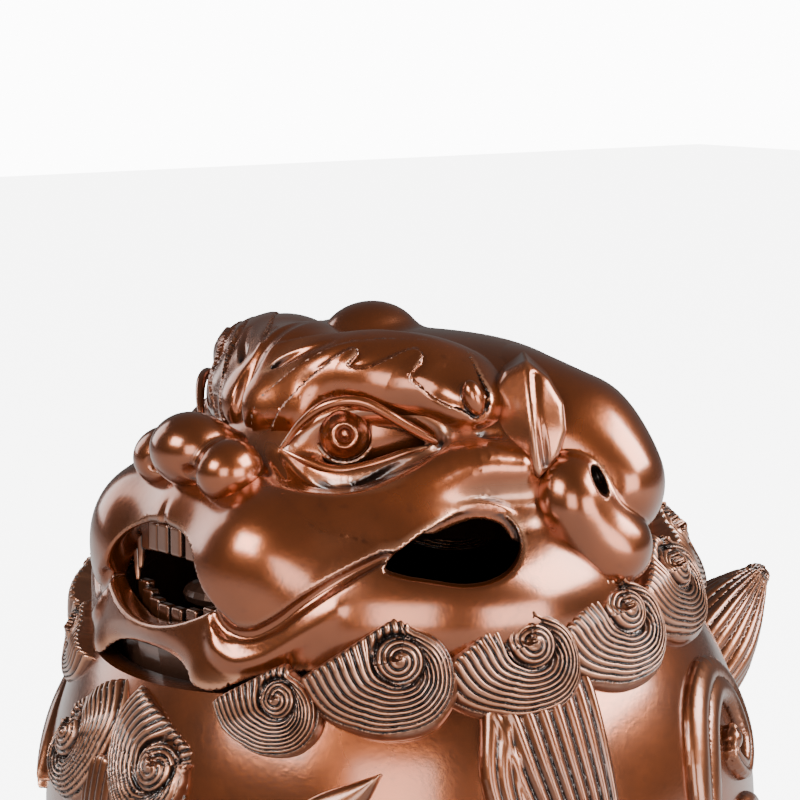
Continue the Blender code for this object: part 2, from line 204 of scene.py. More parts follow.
def steps_between(value, low, high):
    """0 below low and 1 above high, with a smooth climb between."""
    t = np.clip((value - low) / (high - low), 0, 1)
    return t * t * (3 - 2 * t)


def left_half(p):
    """The same point on the dog's left, as both sides are alike."""
    q = p.copy()
    q[:, 0] = np.abs(q[:, 0])
    return q


# ---------------- head

SIDE_AXES = axes(CHEEK_YAW)
MOUTH_HALF = 19.6
LIP_ANGLES = (0, 8, 16, 22, 27, 32, 37, 44, 54, 66, 90, 140)
LIP_HEIGHTS = (154.5, 153.5, 149.5, 143.5, 139.5, 137.0, 137.2, 140.5, 147.0, 152.3, 156, 158)


def cheek_axes(roll):
    return axes(CHEEK_YAW, 0, roll)


def on_side(along, out, height):
    """A point by distance along the cheek to the rear, out from it, and height."""
    return SIDE_AXES @ np.array((along, -out, 0)) + np.array((0, 0, height))


def to_side(q):
    """Along, out and height of points on the dog's left."""
    turned = q @ SIDE_AXES
    return np.stack((turned[:, 0], -turned[:, 1], q[:, 2]), 1)


def side_path(*points):
    """A smooth path by along, out, height and a strength or radius."""
    return spline([(*on_side(a, o, h), k) for a, o, h, k in points])


def path_of(*points):
    """A smooth path by x, y, z and a strength or radius."""
    return spline(rows(*points))


def polygon(p, corners):
    """Distance to a closed outline in the plane, below 0 inside."""
    box = ((p > corners.min(0) - FAR) & (p < corners.max(0) + FAR)).all(1)
    if not box.all():
        d = np.full(len(p), FAR)
        d[box] = polygon(p[box], corners)
        return d
    best = np.full(len(p), 1e9)
    inside = np.zeros(len(p), bool)
    for a, b in zip(corners, np.roll(corners, -1, 0)):
        step = b - a
        t = np.clip((p - a) @ step / (step @ step), 0, 1)
        best = np.minimum(best, ((p - a - t[:, None] * step) ** 2).sum(1))
        crosses = (a[1] > p[:, 1]) != (b[1] > p[:, 1])
        rise = step[1] if abs(step[1]) > 1e-9 else 1e-9
        inside ^= crosses & (p[:, 0] < a[0] + (p[:, 1] - a[1]) * step[0] / rise)
    return np.where(inside, -1, 1) * np.sqrt(best)


def closed(*points):
    """A smooth closed outline through points of the plane."""
    steps = 4
    around = spline(rows(*points[-2:], *points, *points[:2]), steps)
    return around[2 * steps:-(steps + 1)]


SET_BACK = on_side(0, 2.6, 0.4)        # how far the brow and eye are moved in from their points
EYE = on_side(-11.4, 36.4, 173.1)
CORNER_HOLE = closed(
    (-3, 150.6), (2, 155.1), (8, 158.2), (12.5, 159.8), (16.5, 160.2), (21, 158.8), (23.8, 155.7),
    (24.2, 152.4), (22.2, 149.4), (18.5, 147.6), (13, 147), (6, 148), (0, 149))
SLIT = path_of(
    (19.8, -63.8, 141, 0.5), (22, -63.6, 138, 1), (25, -62.6, 136.2, 1), (29, -60.8, 136, 1),
    (33.5, -58.2, 138.6, 1), (38.5, -54.5, 143.4, 1), (42.5, -49, 147.8, 1),
    (45.5, -42, 151.4, 1), (47, -37.5, 152.6, 0.7))
LOWER_BEAD = path_of(
    (22.5, -62, 136, 0.3), (26, -61.2, 134.2, 0.75), (30, -59.4, 134.6, 0.8),
    (35, -56, 137.6, 0.8), (39.6, -51.5, 142.2, 0.8), (43.4, -46.2, 146.8, 0.8),
    (46, -41, 150.2, 0.6))
FOLD = path_of(
    (20.5, -64.5, 136, 0.4), (22.5, -64.2, 132.8, 1), (26.5, -62.2, 130.8, 1),
    (32, -58.8, 132.4, 1), (38, -55, 137, 0.9), (43.5, -50, 142.6, 0.4))
UPPER_LID = side_path(
    (-24.6, 40, 170.8, 0.5), (-20.5, 42, 176.3, 0.9), (-16.3, 43.2, 179.8, 1.1),
    (-11.7, 43.8, 181.3, 1.15), (-7.4, 44, 181, 1.15), (-3, 43.9, 178.9, 1.15),
    (1, 43.6, 176.4, 1.1), (5, 43.2, 174.1, 1.1), (8.6, 42.8, 172.2, 0.9))
LOWER_LID = side_path(
    (-24.6, 40, 170.8, 0.4), (-19.4, 42, 168.6, 0.9), (-14.1, 43.2, 167.0, 1.1),
    (-9.2, 43.6, 167.2, 1.1), (-3.3, 43.6, 168.9, 1.0), (1, 43.2, 170.4, 0.9),
    (5.6, 42.6, 171.6, 0.5))
EYE_BAG = side_path(
    (-24.2, 40.5, 170, 0.6), (-20.2, 42.5, 165.4, 1), (-16, 43.8, 162.9, 1),
    (-11.7, 44.6, 162.4, 1), (-7.4, 44.8, 163.8, 1), (-1.2, 44.4, 167.3, 1), (3, 44, 169.3, 1),
    (8.4, 43.6, 171.4, 1), (13.3, 43.8, 172.8, 0.9), (19.8, 44.4, 174.6, 0.8))
BAG_ROLL = side_path(
    (-20, 40, 168, 1), (-14, 42, 165.4, 2.4), (-7, 42.8, 165.8, 2.7), (0, 42.6, 167.8, 2.4),
    (7, 42.4, 169.6, 1.8))
CHEEK_ROLL = side_path(
    (-18, 43, 158, 2), (-8, 46, 159.5, 3), (2, 47.5, 163, 4), (14, 47, 168, 4), (24, 45, 168, 2))
PHILTRUM = path_of((0, -61, 163.5, 1), (0, -63, 158, 1), (0, -63.5, 153, 1))
NOSE_WRINKLES = (
    path_of((7.5, -50.5, 174, 0.5), (10.5, -49.2, 171.5, 1), (14.5, -48.6, 168, 1),
            (18.5, -48, 164.5, 0.4)),
    path_of((11.5, -45.8, 174.2, 0.4), (14.8, -45, 170, 1), (19.5, -45.5, 165, 0.4)))
PLATE = side_path(
    (-27, 33.5, 174, 0.6), (-25, 33, 178.5, 1), (-20.2, 35.5, 184, 1), (-15, 38, 188.4, 1),
    (-11.8, 38, 190.8, 1), (-9.6, 38, 191.6, 1), (-9, 39, 190.6, 1), (-10.6, 40.3, 188.3, 1),
    (-7.5, 41, 187.8, 1), (-3.4, 40.8, 189.3, 1), (1, 39.2, 191.3, 1), (3.7, 38.8, 191.4, 1),
    (4.4, 40.2, 189.8, 1), (2, 42.3, 186, 1), (5.2, 43.6, 183.4, 1), (9, 44.8, 181, 1),
    (12.5, 46, 179.8, 1), (15.4, 46.6, 178.4, 1), (17.6, 46.6, 179.6, 1),
    (18.3, 45.6, 182.4, 0.9), (17, 43.6, 185, 0.6))
FOREHEAD_GROOVE = path_of(
    (0, -44, 174.5, 1), (0, -41.5, 181, 1), (0, -38.5, 187.5, 1), (0, -34, 192, 1),
    (0, -27, 195.5, 0.8), (0, -20, 197, 0.3))
FOLD_INNER = path_of(
    (3.2, -43, 175.5, 0.6), (5, -41, 181.5, 1), (7.5, -39, 185.8, 1), (12.5, -36, 189.8, 0.9),
    (17, -32, 192.6, 0.3))
FOLD_MIDDLE = path_of(
    (6.4, -43.6, 172.8, 0.8), (7.6, -41.5, 178, 1), (12, -38.8, 184, 1), (16.5, -35.2, 189, 1),
    (20.5, -31, 192.4, 0.8), (26, -26, 193.6, 0.3))
CROWN_FOLD = path_of(
    (2.5, -38, 189.5, 0.4), (9, -33, 193, 0.9), (18, -25, 195, 0.9), (28, -16, 194, 0.7),
    (36, -9, 191, 0.3))


def lip_height(q):
    """How high the upper lip ends, by the direction from the middle of the head."""
    angle = np.degrees(np.arctan2(q[:, 0], -20 - q[:, 1]))
    return np.interp(angle, LIP_ANGLES, LIP_HEIGHTS)


def skull(q):
    """The head's round mass, with the knob on its crown."""
    d = egg(q, (0, -8, 138), (66.5, 58, 34))
    d = join(d, egg(q, (0, 4, 147), (53, 52, 27)), 5)
    d = join(d, egg(q, (0, -8, 168), (39, 34, 24)), 14)
    d = join(d, egg(q, (24, 6, 164), (28, 26, 25)), 12)
    return join(d, egg(q, (0, -8, 187.6), (9.5, 12, 9.6)), 2)


def muzzle(q):
    d = egg(q, (0, -36, 155.5), (22, 25.5, 13.5))
    d = join(d, egg(q, (20.5, -49.5, 149.5), (15, 14.5, 14.5), axes(32)), 7)
    return join(d, egg(q, on_side(-6, 46, 157), (16, 10, 8), SIDE_AXES), 8)


def jaw(q):
    d = egg(q, (0, -36, 130), (43, 31, 17))
    d = join(d, egg(q, (17, -54, 125), (13, 13, 8), axes(20)), 6)
    d = join(d, egg(q, (0, -54, 131), (22, 10.5, 5)), 4)
    return cut(d, egg(q, (0, -76.5, 127.5), (20, 12.5, 5.5)), 4)


def chin_height(q):
    """The jaw's lower edge: two arches that meet in a cusp under the lip."""
    x = q[:, 0]
    return 121.3 + 7.2 * np.exp(-(x / 9.5) ** 1.2) + 3 * steps_between(x, 24, 40)


def mouth_gap(q):
    """The opening between the lips, below 0 inside."""
    x = q[:, 0] / MOUTH_HALF
    low = 134.6 + 5.8 * x**2
    high = 154.0 - 3 * x**2 - 10.6 * x**4
    return np.maximum(np.maximum(low - q[:, 2], q[:, 2] - high), q[:, 0] - 20.5)


def head_field(p):
    """The hollow head with its jaw, muzzle, cheeks, mouth and corner openings."""
    q = left_half(p)
    side = to_side(q)
    bone = skull(q)
    lower = join(bone, jaw(q), 6)
    upper = overlap(join(bone, muzzle(q), 9), lip_height(q) - q[:, 2], 2.6)
    d = join(upper, lower, 1.2)
    d = cut(d, egg(q, on_side(-8.5, 45.5, 171.2), (18.5, 9.5, 9.5), cheek_axes(-3)), 2.5)
    d = join(d, tube(q + SET_BACK, BAG_ROLL), 2)
    d = join(d, tube(q, CHEEK_ROLL), 7)
    d = groove(d, q + SET_BACK * 0.6, EYE_BAG, 1.1, 0.9)
    d = cut(d, np.maximum(mouth_gap(q), q[:, 1] + 36), 1.2)
    d = groove(d, q, SLIT, 1.0, 2.4)
    d = join(d, tube(q, LOWER_BEAD), 0.5)
    d = groove(d, q, FOLD, 1.9, -1.3)
    d = groove(d, q, PHILTRUM, 0.9, 1.8)
    for wrinkle in NOSE_WRINKLES:
        d = groove(d, q, wrinkle, 1.0, 1.0)
    hole = polygon(side[:, (0, 2)], CORNER_HOLE)
    d = cut(d, np.maximum(hole, 30 - side[:, 1]), 1.0)
    sleeve = overlap(overlap(-(hole + 2.1), hole - 2, 1.2), 44.5 - side[:, 1], 1)
    depth = np.interp(side[:, 0], (-3, 8, 24), (60, 53.5, 49.5))
    far_end = 1 - steps_between(side[:, 0], 2, 9)
    sleeve = overlap(sleeve, side[:, 1] - depth + 3.4 * far_end, 1.2)
    d = join(d, sleeve, 0.6)
    d = cut(d, bone + 4.2, 1)
    d = overlap(d, chin_height(q) - q[:, 2], 1.6)
    rim = to_rim(q)
    d = overlap(d, RIM_H + 0.3 - rim[:, 2] - 4 * steps_between(-q[:, 1], 50, 56), 1)
    return overlap(d, BOWL_R + 0.5 - from_bowl(p), 1)


def nose_field(p):
    q = left_half(p)
    d = egg(q, (0, -55.2, 169.8), (8.8, 8.6, 7.8))
    d = join(d, egg(q, (0, -49, 167.5), (9, 9.5, 6.2)), 4)
    wing = egg(q, (11.2, -53.2, 166.4), (6.8, 7.8, 6.8), axes(18, 0, 20))
    d = join(d, wing, 1.2)
    return cut(d, egg(q, (7.2, -62.5, 166.2), (2.1, 5, 2.1), axes(0, -8)), 1)


def brow_field(p):
    """The brow and forehead, with the plate that laps over them and their folds."""
    q = left_half(p) + SET_BACK
    d = egg(q, on_side(1, 29.5, 183), (22.5, 13.8, 10.8), cheek_axes(7))
    d = join(d, egg(q, (0, -27, 184.5), (12, 13.5, 10.5)), 8)
    d = join(d, egg(q, on_side(-20, 31, 178), (6, 9, 9), SIDE_AXES), 5)
    d = join(d, egg(q, (5.5, -35, 177.5), (9.5, 10.5, 9.5)), 4)
    d = join(d, egg(q, on_side(14, 37, 179.5), (8, 9, 6.5), SIDE_AXES), 4)
    d = cut(d, egg(q, on_side(-8, 47.5, 171.8), (18, 9.5, 9.4), cheek_axes(-3)), 1.5)
    d = lap(d, q, PLATE, on_side(0, 1, 0), 1.4, 6, 0.8, 1.1, 0.5)
    d = groove(d, q - SET_BACK, FOREHEAD_GROOVE, 1.2, 2.4)
    d = groove(d, q, FOLD_INNER, 0.9, 1.6)
    d = lap(d, q, FOLD_MIDDLE, (0.3, -0.8, 0.4), 0.8, 5, 0.7, 1.0, 0.6)
    d = lap(d, q, CROWN_FOLD, (0.2, -0.4, 0.9), 0.7, 5, 0.5, 1.0, 0.6)
    tear = egg(q, on_side(15, 45.6, 182.2), (2.2, 2.4, 3.9), cheek_axes(-18))
    return join(d, tear, 0.3)


def eye_field(p):
    """The eye's white, and its ball with a ringed and pierced pupil."""
    q = left_half(p) + SET_BACK
    side = to_side(q)
    white = egg(q, on_side(-8.3, 33.8, 172.4), (17, 6.2, 9), cheek_axes(-3))
    ball = np.linalg.norm(q - EYE, axis=1) - 6.9
    r = np.hypot(side[:, 0] + 11.4, side[:, 2] - 174.1)
    front = side[:, 1] > 36
    ball = ball + np.where(front, 0.6 * np.exp(-((r - 5.7) / 0.45) ** 2), 0)
    ball = ball - np.where(front, 0.7 * np.exp(-((r - 2.5) / 0.75) ** 2), 0)
    ball = ball + np.where(front, 2.6 * np.exp(-(r / 1.5) ** 4), 0)
    return join(white, ball, 0.3)


def lids_field(p):
    q = left_half(p) + SET_BACK
    return np.minimum(tube(q, UPPER_LID), tube(q, LOWER_LID))


FANGS = (((18.4, -57, 151), (16.6, -58, 140)), ((15.2, -57.5, 152), (14.6, -58.5, 143)))


def tooth(p, centre, half):
    """A block with rounded edges."""
    round_by = 0.7
    gap = np.abs(p - centre) - np.array(half) + round_by
    return np.linalg.norm(np.maximum(gap, 0), axis=1) + np.minimum(gap.max(1), 0) - round_by


def teeth_field(p):
    """Two rows of square teeth on their gums, with the fangs at each side."""
    q = left_half(p)
    x = np.arange(0, 19, 3.0)
    upper = np.stack((x, -58.6 + x**2 / 70, 154.5 - x**2 / 130, 2 + 0 * x), 1)
    lower = np.stack((x, -58.6 + x**2 / 70, 131.4 + x**2 / 90, 2.3 + 0 * x), 1)
    d = np.minimum(tube(q, upper), tube(q, lower))
    for x in (2.4, 7.0, 11.5, 15.4):
        y = -60 + x * x / 70
        d = np.minimum(d, tooth(q, (x, y, 151.2 - x * x / 130), (2.0, 1.2, 3.2)))
        d = np.minimum(d, tooth(q, (x, y, 134.2 + x * x / 90), (2.0, 1.2, 2.9)))
    for top, tip in FANGS:
        d = np.minimum(d, tube(q, rows((*top, 1.7), (*tip, 0.5))))
    return d


EAR_OUTLINE = rows(
    (26.0, 189), (21.5, 186.5), (18.6, 182.5), (19.4, 175.5), (23, 171), (28.4, 165.5),
    (32.4, 169.5), (34.2, 175), (33.6, 180.5), (30.6, 185.5))


def ear_field(p):
    """A leaf-shaped ear whose front and back faces meet along a raised ridge."""
    q = left_half(p)
    side = to_side(q)
    along, out, z = side.T
    ridge = 26.0 + 0.09 * (190 - z)
    lean = 46.8 - 0.022 * np.maximum(z - 170, 0) ** 2
    front = (out - lean + 0.75 * (ridge - along)) / 1.35
    back = (out - lean + 0.3 + 0.42 * (along - ridge)) / 1.2
    d = overlap(polygon(side[:, (0, 2)], EAR_OUTLINE), overlap(front, back, 0.7), 1.4)
    d = np.maximum(d, 18 - out)
    d = groove(d, q, side_path((27.6, 40, 186, 0.6), (28.2, 44.6, 180, 1), (29.2, 45.4, 172, 1),
                               (29.6, 45.2, 168.5, 0.6)), 0.8, 0.9)
    return d * 0.85


def horn_field(p):
    """A broad sheet that falls over the side of the head and ends in a double roll."""
    q = left_half(p)
    sheet = egg(q, (25, 6, 179.5), (20, 15, 10.5))
    for centre, radii in (((40, 12, 170), (17, 17, 15)), ((47.5, 15, 162), (15.5, 14, 14.5))):
        sheet = join(sheet, egg(q, centre, radii), 5)
    sheet = cut(sheet, egg(q, on_side(43, 48.5, 167), (7.5, 4.5, 9.5), SIDE_AXES), 3)
    roll = egg(q, on_side(35.5, 40.5, 159.5), (8.6, 10, 11), cheek_axes(-12))
    roll = join(roll, egg(q, on_side(41.5, 38, 150), (11, 10.5, 10), SIDE_AXES), 6)
    d = join(sheet, roll, 0.9)
    return cut(d, egg(q, on_side(40.8, 46, 165), (1.2, 8, 3.4), cheek_axes(-25)), 0.6)


# ---------------- locks of hair and reliefs

def ridges(phase, depth):
    """How far ridges with sharp valleys stand up, for one ridge each full turn of phase."""
    return depth * (np.abs(np.sin(phase / 2)) ** 0.8 - 0.62)


# round the coil from its right: the lock's and coil's radius, a strand's width, and the undercut
TURNS = np.radians((0, 27, 50, 62, 75, 90, 110, 140, 180, 201, 225, 258, 289, 312, 336, 360))
LOCK_OUT = (9.5, 8.0, 7.2, 7.4, 9, 10, 12, 16, 20.5, 18.9, 15.9, 14.0, 13.5, 12.5, 10.9, 9.5)
COIL_OUT = (5.0, 4.9, 4.8, 4.8, 4.8, 5.0, 5.2, 5.4, 5.4, 5.1, 4.8, 4.9, 5.1, 5.2, 5.2, 5.0)
STRANDS = (0.98, 0.98, 0.98, 0.98, 1.2, 1.68, 1.68, 1.68, 1.68, 1.5, 1.23, 1.03, 1.0, 0.98, 0.98,
           0.98)
UNDER = (0.6, 0.3, 0, 0, 0, 0, 0, 0, 0, 0.8, 1.6, 2.2, 2.2, 1.8, 1.1, 0.6)


def lock(p, bend=70.0):
    """A lock that falls from the hairline and rolls up, in its own frame: across, up, out.

    Its strands start along the hairline on the left, sweep under the coil and up its right
    side, and wind into it anticlockwise as seen from outside. The coil is round the origin.
    """
    thick, edge = 4.9, 4.2
    u, v = p[:, 0], p[:, 1]
    w = p[:, 2] + u**2 / (2 * bend) - 0.08 * u
    r = np.hypot(u, v)
    turn = np.arctan2(v, u) % (2 * math.pi)
    outer, inner = np.interp(turn, TURNS, LOCK_OUT), np.interp(turn, TURNS, COIL_OUT)
    under, pitch = np.interp(turn, TURNS, UNDER), np.interp(turn, TURNS, STRANDS)
    above = (turn > math.radians(68)) & (turn < math.pi)
    in_coil = r < inner
    swept = (outer - r) / pitch
    fallen = (20.5 + u + 0.026 * v * np.maximum(-u - 5.4, 0)) / 1.68
    phase = 2 * math.pi * np.where(above, fallen, swept)
    phase = np.where(in_coil, 2 * turn + 5.2 * np.sqrt(r * r + 0.4), phase)
    seam = np.interp(turn, np.radians((0, 60, 90, 180, 225, 270, 315, 360)),
                     (0.3, 0.8, 1, 1, 0.8, 0.5, 0.35, 0.3))
    share = np.clip((r - inner) / np.maximum(outer - inner, 0.5), 0, 1)
    swell = 0.9 * np.sin(math.pi * share)
    low = -0.9 * steps_between(math.pi - turn, 0, 0.7) + swell * steps_between(turn, 2.4, math.pi)
    rise = np.where(above, low, np.where(in_coil, 1.0 * (1 - (r / 5.2) ** 2) + 0.2, swell))
    rise = rise - 1.3 * seam * np.exp(-((r - inner) / 0.7) ** 2)
    within = 1 - steps_between(r - outer, -0.2, 0.7)
    rise += ridges(phase, 0.8) * steps_between(r, 0.5, 1.8) * within
    rise += 0.8 * np.exp(-(r / 1.1) ** 2)
    inward = r - outer - under + edge - 0.3 * rise
    height = np.abs(w) - thick + 0.12 * np.maximum(v, 0) + edge - rise
    d = np.hypot(np.maximum(inward, 0), np.maximum(height, 0))
    d = d - edge + np.minimum(np.maximum(inward, height), 0)
    return overlap(d, (v - 0.4 * (u + 20.8)) / 1.077, 0.8) * 0.7


def on_ball(p):
    """Local points to a sheet laid on the bowl: across, up, and height above its surface."""
    out = np.linalg.norm(p + (0, 0, BOWL_R), axis=1)
    scale = BOWL_R / np.maximum(out, 1)
    return np.stack((p[:, 0] * scale, p[:, 1] * scale, out - BOWL_R), 1)


def let_in(d, q):
    """A relief closed off a little below the bowl's surface."""
    return np.maximum(d, -2.5 - q[:, 2])


def tongue(p, path, strands, height, ridge):
    """A flat flame along a path of across, up, half width, with strands running down it."""
    crown = 0.6                        # the share of the height that is rounded over
    away, _, values, heading = nearest(p[:, :2], path, 2)
    half = np.maximum(values[:, 2], 0.3)
    gap = p[:, :2] - values[:, :2]
    side = (heading[:, 0] * gap[:, 1] - heading[:, 1] * gap[:, 0]) / half
    s = np.clip(side, -1, 1)
    top = height * (1 - crown + crown * np.sqrt(np.maximum(1 - s * s, 0)))
    top = top + ridges(math.pi * strands * (s + 1), ridge)
    return overlap(away - half, p[:, 2] - top, 1.0) * 0.85


def chest_curl_field(p):
    """A lock turned so that its strands fall from the upper right."""
    q = on_ball(p) + (0, 0, 2.2)
    c, s = math.cos(math.radians(52)), math.sin(math.radians(52))
    turned = np.stack((c * q[:, 0] - s * q[:, 1], s * q[:, 0] + c * q[:, 1], q[:, 2]), 1)
    return np.maximum(lock(turned, 1e6), -0.3 - q[:, 2])


CHEST_STRANDS = spline(rows((0, 12, 6.5), (0, 2, 6), (1, -8, 4.5), (0, -17, 2.5), (-1, -23, 0.4)))
FLANK = spline(rows(
    (-1.5, 19, 12.5), (0, 8, 11.5), (2.5, -6, 9.5), (4, -20, 7), (4, -33, 3.8), (2, -43, 0.5)))
FLANK_FRONT = spline(rows((-10, 17, 5), (-12.5, 6, 4.4), (-11, -6, 3.4), (-12, -15, 0.4)))
HAUNCH = spline(rows(
    (-8, -36, 0.8), (-14, -24, 3.5), (-14, -8, 5.4), (-8, 6, 6), (2, 12, 5.6), (10, 8, 4.6),
    (12, -2, 3.6), (6, -8, 2.8), (0.5, -4, 2.2), (2.5, 1, 1.2)))
HAUNCH_TAIL = spline(rows(
    (-2, -38, 0.4), (-3, -26, 3.2), (3, -18, 3.6), (11, -17, 2.4), (17, -22, 0.4)))
FLAME = spline(rows((-17, -10, 0.5), (-10, -5, 3), (-2, 0, 4.2), (5, 4.5, 3), (10, 9, 0.4)))
FLAME_LOW = spline(rows((-10, -14, 0.5), (-3, -8, 3), (5, -4, 3.4), (13, -1, 0.4)))


def chest_lock_field(p):
    q = on_ball(p)
    return let_in(tongue(q, CHEST_STRANDS, 6, 2.6, 0.55), q)


def flank_field(p):
    q = on_ball(p)
    return let_in(join(tongue(q, FLANK, 8, 3.4, 1.2), tongue(q, FLANK_FRONT, 3, 2.6, 0.9), 0.5), q)


def haunch_field(p):
    q = on_ball(p)
    d = join(tongue(q, HAUNCH, 2, 2.6, 0.7), tongue(q, HAUNCH_TAIL, 1, 2.2, 0.5), 0.6)
    bead = np.linalg.norm(q - (2.2, -1, 0.8), axis=1) - 2.6
    return let_in(join(d, bead, 0.4), q)


def flame_field(p):
    q = on_ball(p)
    return let_in(join(tongue(q, FLAME, 1, 2.2, 0.5), tongue(q, FLAME_LOW, 1, 2.0, 0.5), 0.5), q)


# ---------------- legs and tail

def leg(q, foot, hip, ahead):
    """A stout left leg with a four-toed, clawed paw; ahead is 1 for a rear leg, -1 for a front."""
    fx, fy = foot
    hx, hy = hip
    d = egg(q, (fx, fy + 1, 7), (15.5, 17, 9.5))
    d = join(d, egg(q, (fx, fy + 2, 22), (12.5, 13.5, 15)), 5)
    d = join(d, egg(q, (hx, hy, 46), (17, 19, 24)), 8)
    d = join(d, egg(q, (fx + 1, fy + 15 * ahead, 23), (6, 7, 10), axes(0, 20 * ahead)), 5)
    for toe in range(4):
        across = (toe - 1.5) * 8.2
        reach = 15.5 - abs(toe - 1.5) * 2.2
        x, y = fx + across, fy - reach
        knuckle = join(egg(q, (x, y + 2.5, 10.5), (4.3, 6.2, 5)),
                       egg(q, (x, y - 2, 5.6), (4.2, 5.5, 5.6)), 1.5)
        claw = egg(q, (x, y - 6.6, 3.6), (1.7, 3.6, 3.2), axes(0, 25))
        d = join(join(d, knuckle, 1.2), claw, 0.3)
    for k in range(4):
        z = 15 + 5.2 * k
        path = spline(rows((fx - 11, fy + 8, z + 3, 0.4), (fx - 3, fy + 13, z - 1, 1),
                           (fx + 7, fy + 12, z - 2, 1), (fx + 13, fy + 3, z + 4, 0.3)))
        d = groove(d, q, path, 0.9, 0.9)
    shin = spline(rows((fx + 12, fy - 6, 16, 0.2), (fx + 14, fy - 3, 26, 1),
                       (hx + 17, hy - 2, 36, 1), (hx + 17, hy + 10, 42, 1),
                       (hx + 13, hy + 17, 38, 0.3)))
    d = lap(d, q, shin, (1, 0, 0), 1.4, 4)
    return np.maximum(np.maximum(d, -q[:, 2]), BOWL_R - 2 - from_bowl(q))


def front_leg_field(p):
    return leg(p, (47, -65), (49, -46), -1)


def rear_leg_field(p):
    return leg(p, (50, 38), (51, 42), 1)


TAIL = path_of(
    (0, 70, 90, 8), (0, 79, 93, 11.5), (0, 87, 99, 13.5), (0, 95, 106, 13.5),
    (0, 102, 112.5, 10.5), (0, 108, 117.5, 6.5), (0, 112, 120.5, 3.5))


def tail_field(p):
    """A broad tuft with its strands combed along it and a turned tip."""
    q = left_half(p)
    away, along, values, heading = nearest(q, TAIL)
    gap = q - values[:, :3]
    up = np.cross(np.broadcast_to((1.0, 0, 0), heading.shape), heading)
    lift = (gap * up).sum(1)
    round_it = np.arctan2(lift, q[:, 0])
    d = away - values[:, 3] * (0.92 + 0.05 * np.cos(6 * round_it + 2 * along))
    knob = egg(q, (0, 82, 85), (9, 7, 6))
    return np.minimum(d - ridges(26 * round_it + 5 * along, 0.6), knob) * 0.75


# ---------------- skinning

CORNERS = np.array([(i >> 2 & 1, i >> 1 & 1, i & 1) for i in range(8)])
EDGES = [(a, b) for a in range(8) for b in range(a + 1, 8)
         if np.abs(CORNERS[a] - CORNERS[b]).sum() == 1]
GRID = 4096                            # more cells than a side ever has
SPAN = np.array((1, GRID, GRID * GRID), np.int64)
LEVELS = 3                             # how often a cell near the surface is halved


def cells_of(keys):
    """The cells that have these keys."""
    return np.stack((keys % GRID, keys // GRID % GRID, keys // SPAN[2]), 1)


def corner_values(field, low, size, cells):
    """The field at the eight corners of each cell."""
    keys, where = np.unique(((cells[:, None] + CORNERS) @ SPAN).ravel(), return_inverse=True)
    return field(low + cells_of(keys) * size)[where.ravel()].reshape(-1, 8)


def neighbours_needed(cells, value):
    """Keys of every cell that shares a crossed edge with one of these."""
    keys = []
    for a, b in EDGES:
        axis = int(np.flatnonzero(CORNERS[a] != CORNERS[b])[0])
        crossed = cells[(value[:, a] < 0) != (value[:, b] < 0)] @ SPAN
        one, two = (axis + 1) % 3, (axis + 2) % 3
        for i in (0, -1):
            for j in (0, -1):
                keys.append(crossed + (CORNERS[a][one] + i) * SPAN[one]
                            + (CORNERS[a][two] + j) * SPAN[two])
    return np.unique(np.concatenate(keys))


def skin(field, low, high, pitch):
    """Vertices and quads of a field's surface, found by splitting only the cells near it."""
    low = np.array(low, float)
    size = pitch * 2**LEVELS
    count = np.ceil((np.array(high, float) - low) / size).astype(int)
    cells = np.stack(np.meshgrid(*[np.arange(n) for n in count], indexing="ij"), -1)
    cells = cells.reshape(-1, 3) + 2
    low = low - 2 * size
    for level in range(LEVELS + 1):
        centre = low + (cells + 0.5) * size
        cells = cells[np.abs(field(centre)) < size * 1.3 + 0.3]
        if level < LEVELS:
            cells = (cells[:, None] * 2 + CORNERS).reshape(-1, 3)
            size /= 2
    value = corner_values(field, low, size, cells)
    fresh, fresh_value = cells, value
    for _ in range(12):
        wanted = np.setdiff1d(neighbours_needed(fresh, fresh_value), cells @ SPAN)
        if len(wanted) == 0:
            break
        fresh = cells_of(wanted)
        fresh_value = corner_values(field, low, size, fresh)
        cells, value = np.concatenate((cells, fresh)), np.concatenate((value, fresh_value))
    total = np.zeros((len(cells), 3))
    crossings = np.zeros(len(cells))
    for a, b in EDGES:
        crossed = (value[:, a] < 0) != (value[:, b] < 0)
        t = value[crossed, a] / (value[crossed, a] - value[crossed, b])
        total[crossed] += CORNERS[a] + t[:, None] * (CORNERS[b] - CORNERS[a])
        crossings += crossed
    used = crossings > 0
    order = np.argsort(cells[used] @ SPAN)
    cells, value = cells[used][order], value[used][order]
    points = low + (cells + total[used][order] / crossings[used][order][:, None]) * size
    cell_keys = cells @ SPAN
    faces = []
    for axis in range(3):
        along = np.eye(3, dtype=np.int64)[axis]
        b, c = np.eye(3, dtype=np.int64)[[(axis + 1) % 3, (axis + 2) % 3]]
        end = int(along @ (4, 2, 1))
        inside = value[:, 0] < 0
        crossed = np.flatnonzero(inside != (value[:, end] < 0))
        ring = []
        for shift in (0 * b, -b, -b - c, -c):
            wanted = (cells[crossed] + shift) @ SPAN
            spot = np.minimum(np.searchsorted(cell_keys, wanted), len(cell_keys) - 1)
            ring.append(np.where(cell_keys[spot] == wanted, spot, -1))
        quads = np.stack(ring, 1)
        flip = ~inside[crossed]
        quads[flip] = quads[flip][:, ::-1]
        faces.append(quads[(quads >= 0).all(1)])
    return points, np.concatenate(faces)


def slope(field, p):
    """The field's gradient, from the four corners of a small tetrahedron."""
    reach = 0.06
    total = np.zeros((len(p), 3))
    for corner in rows((1, -1, -1), (-1, -1, 1), (-1, 1, -1), (1, 1, 1)):
        total += corner * field(p + reach * corner)[:, None]
    return total / (4 * reach)


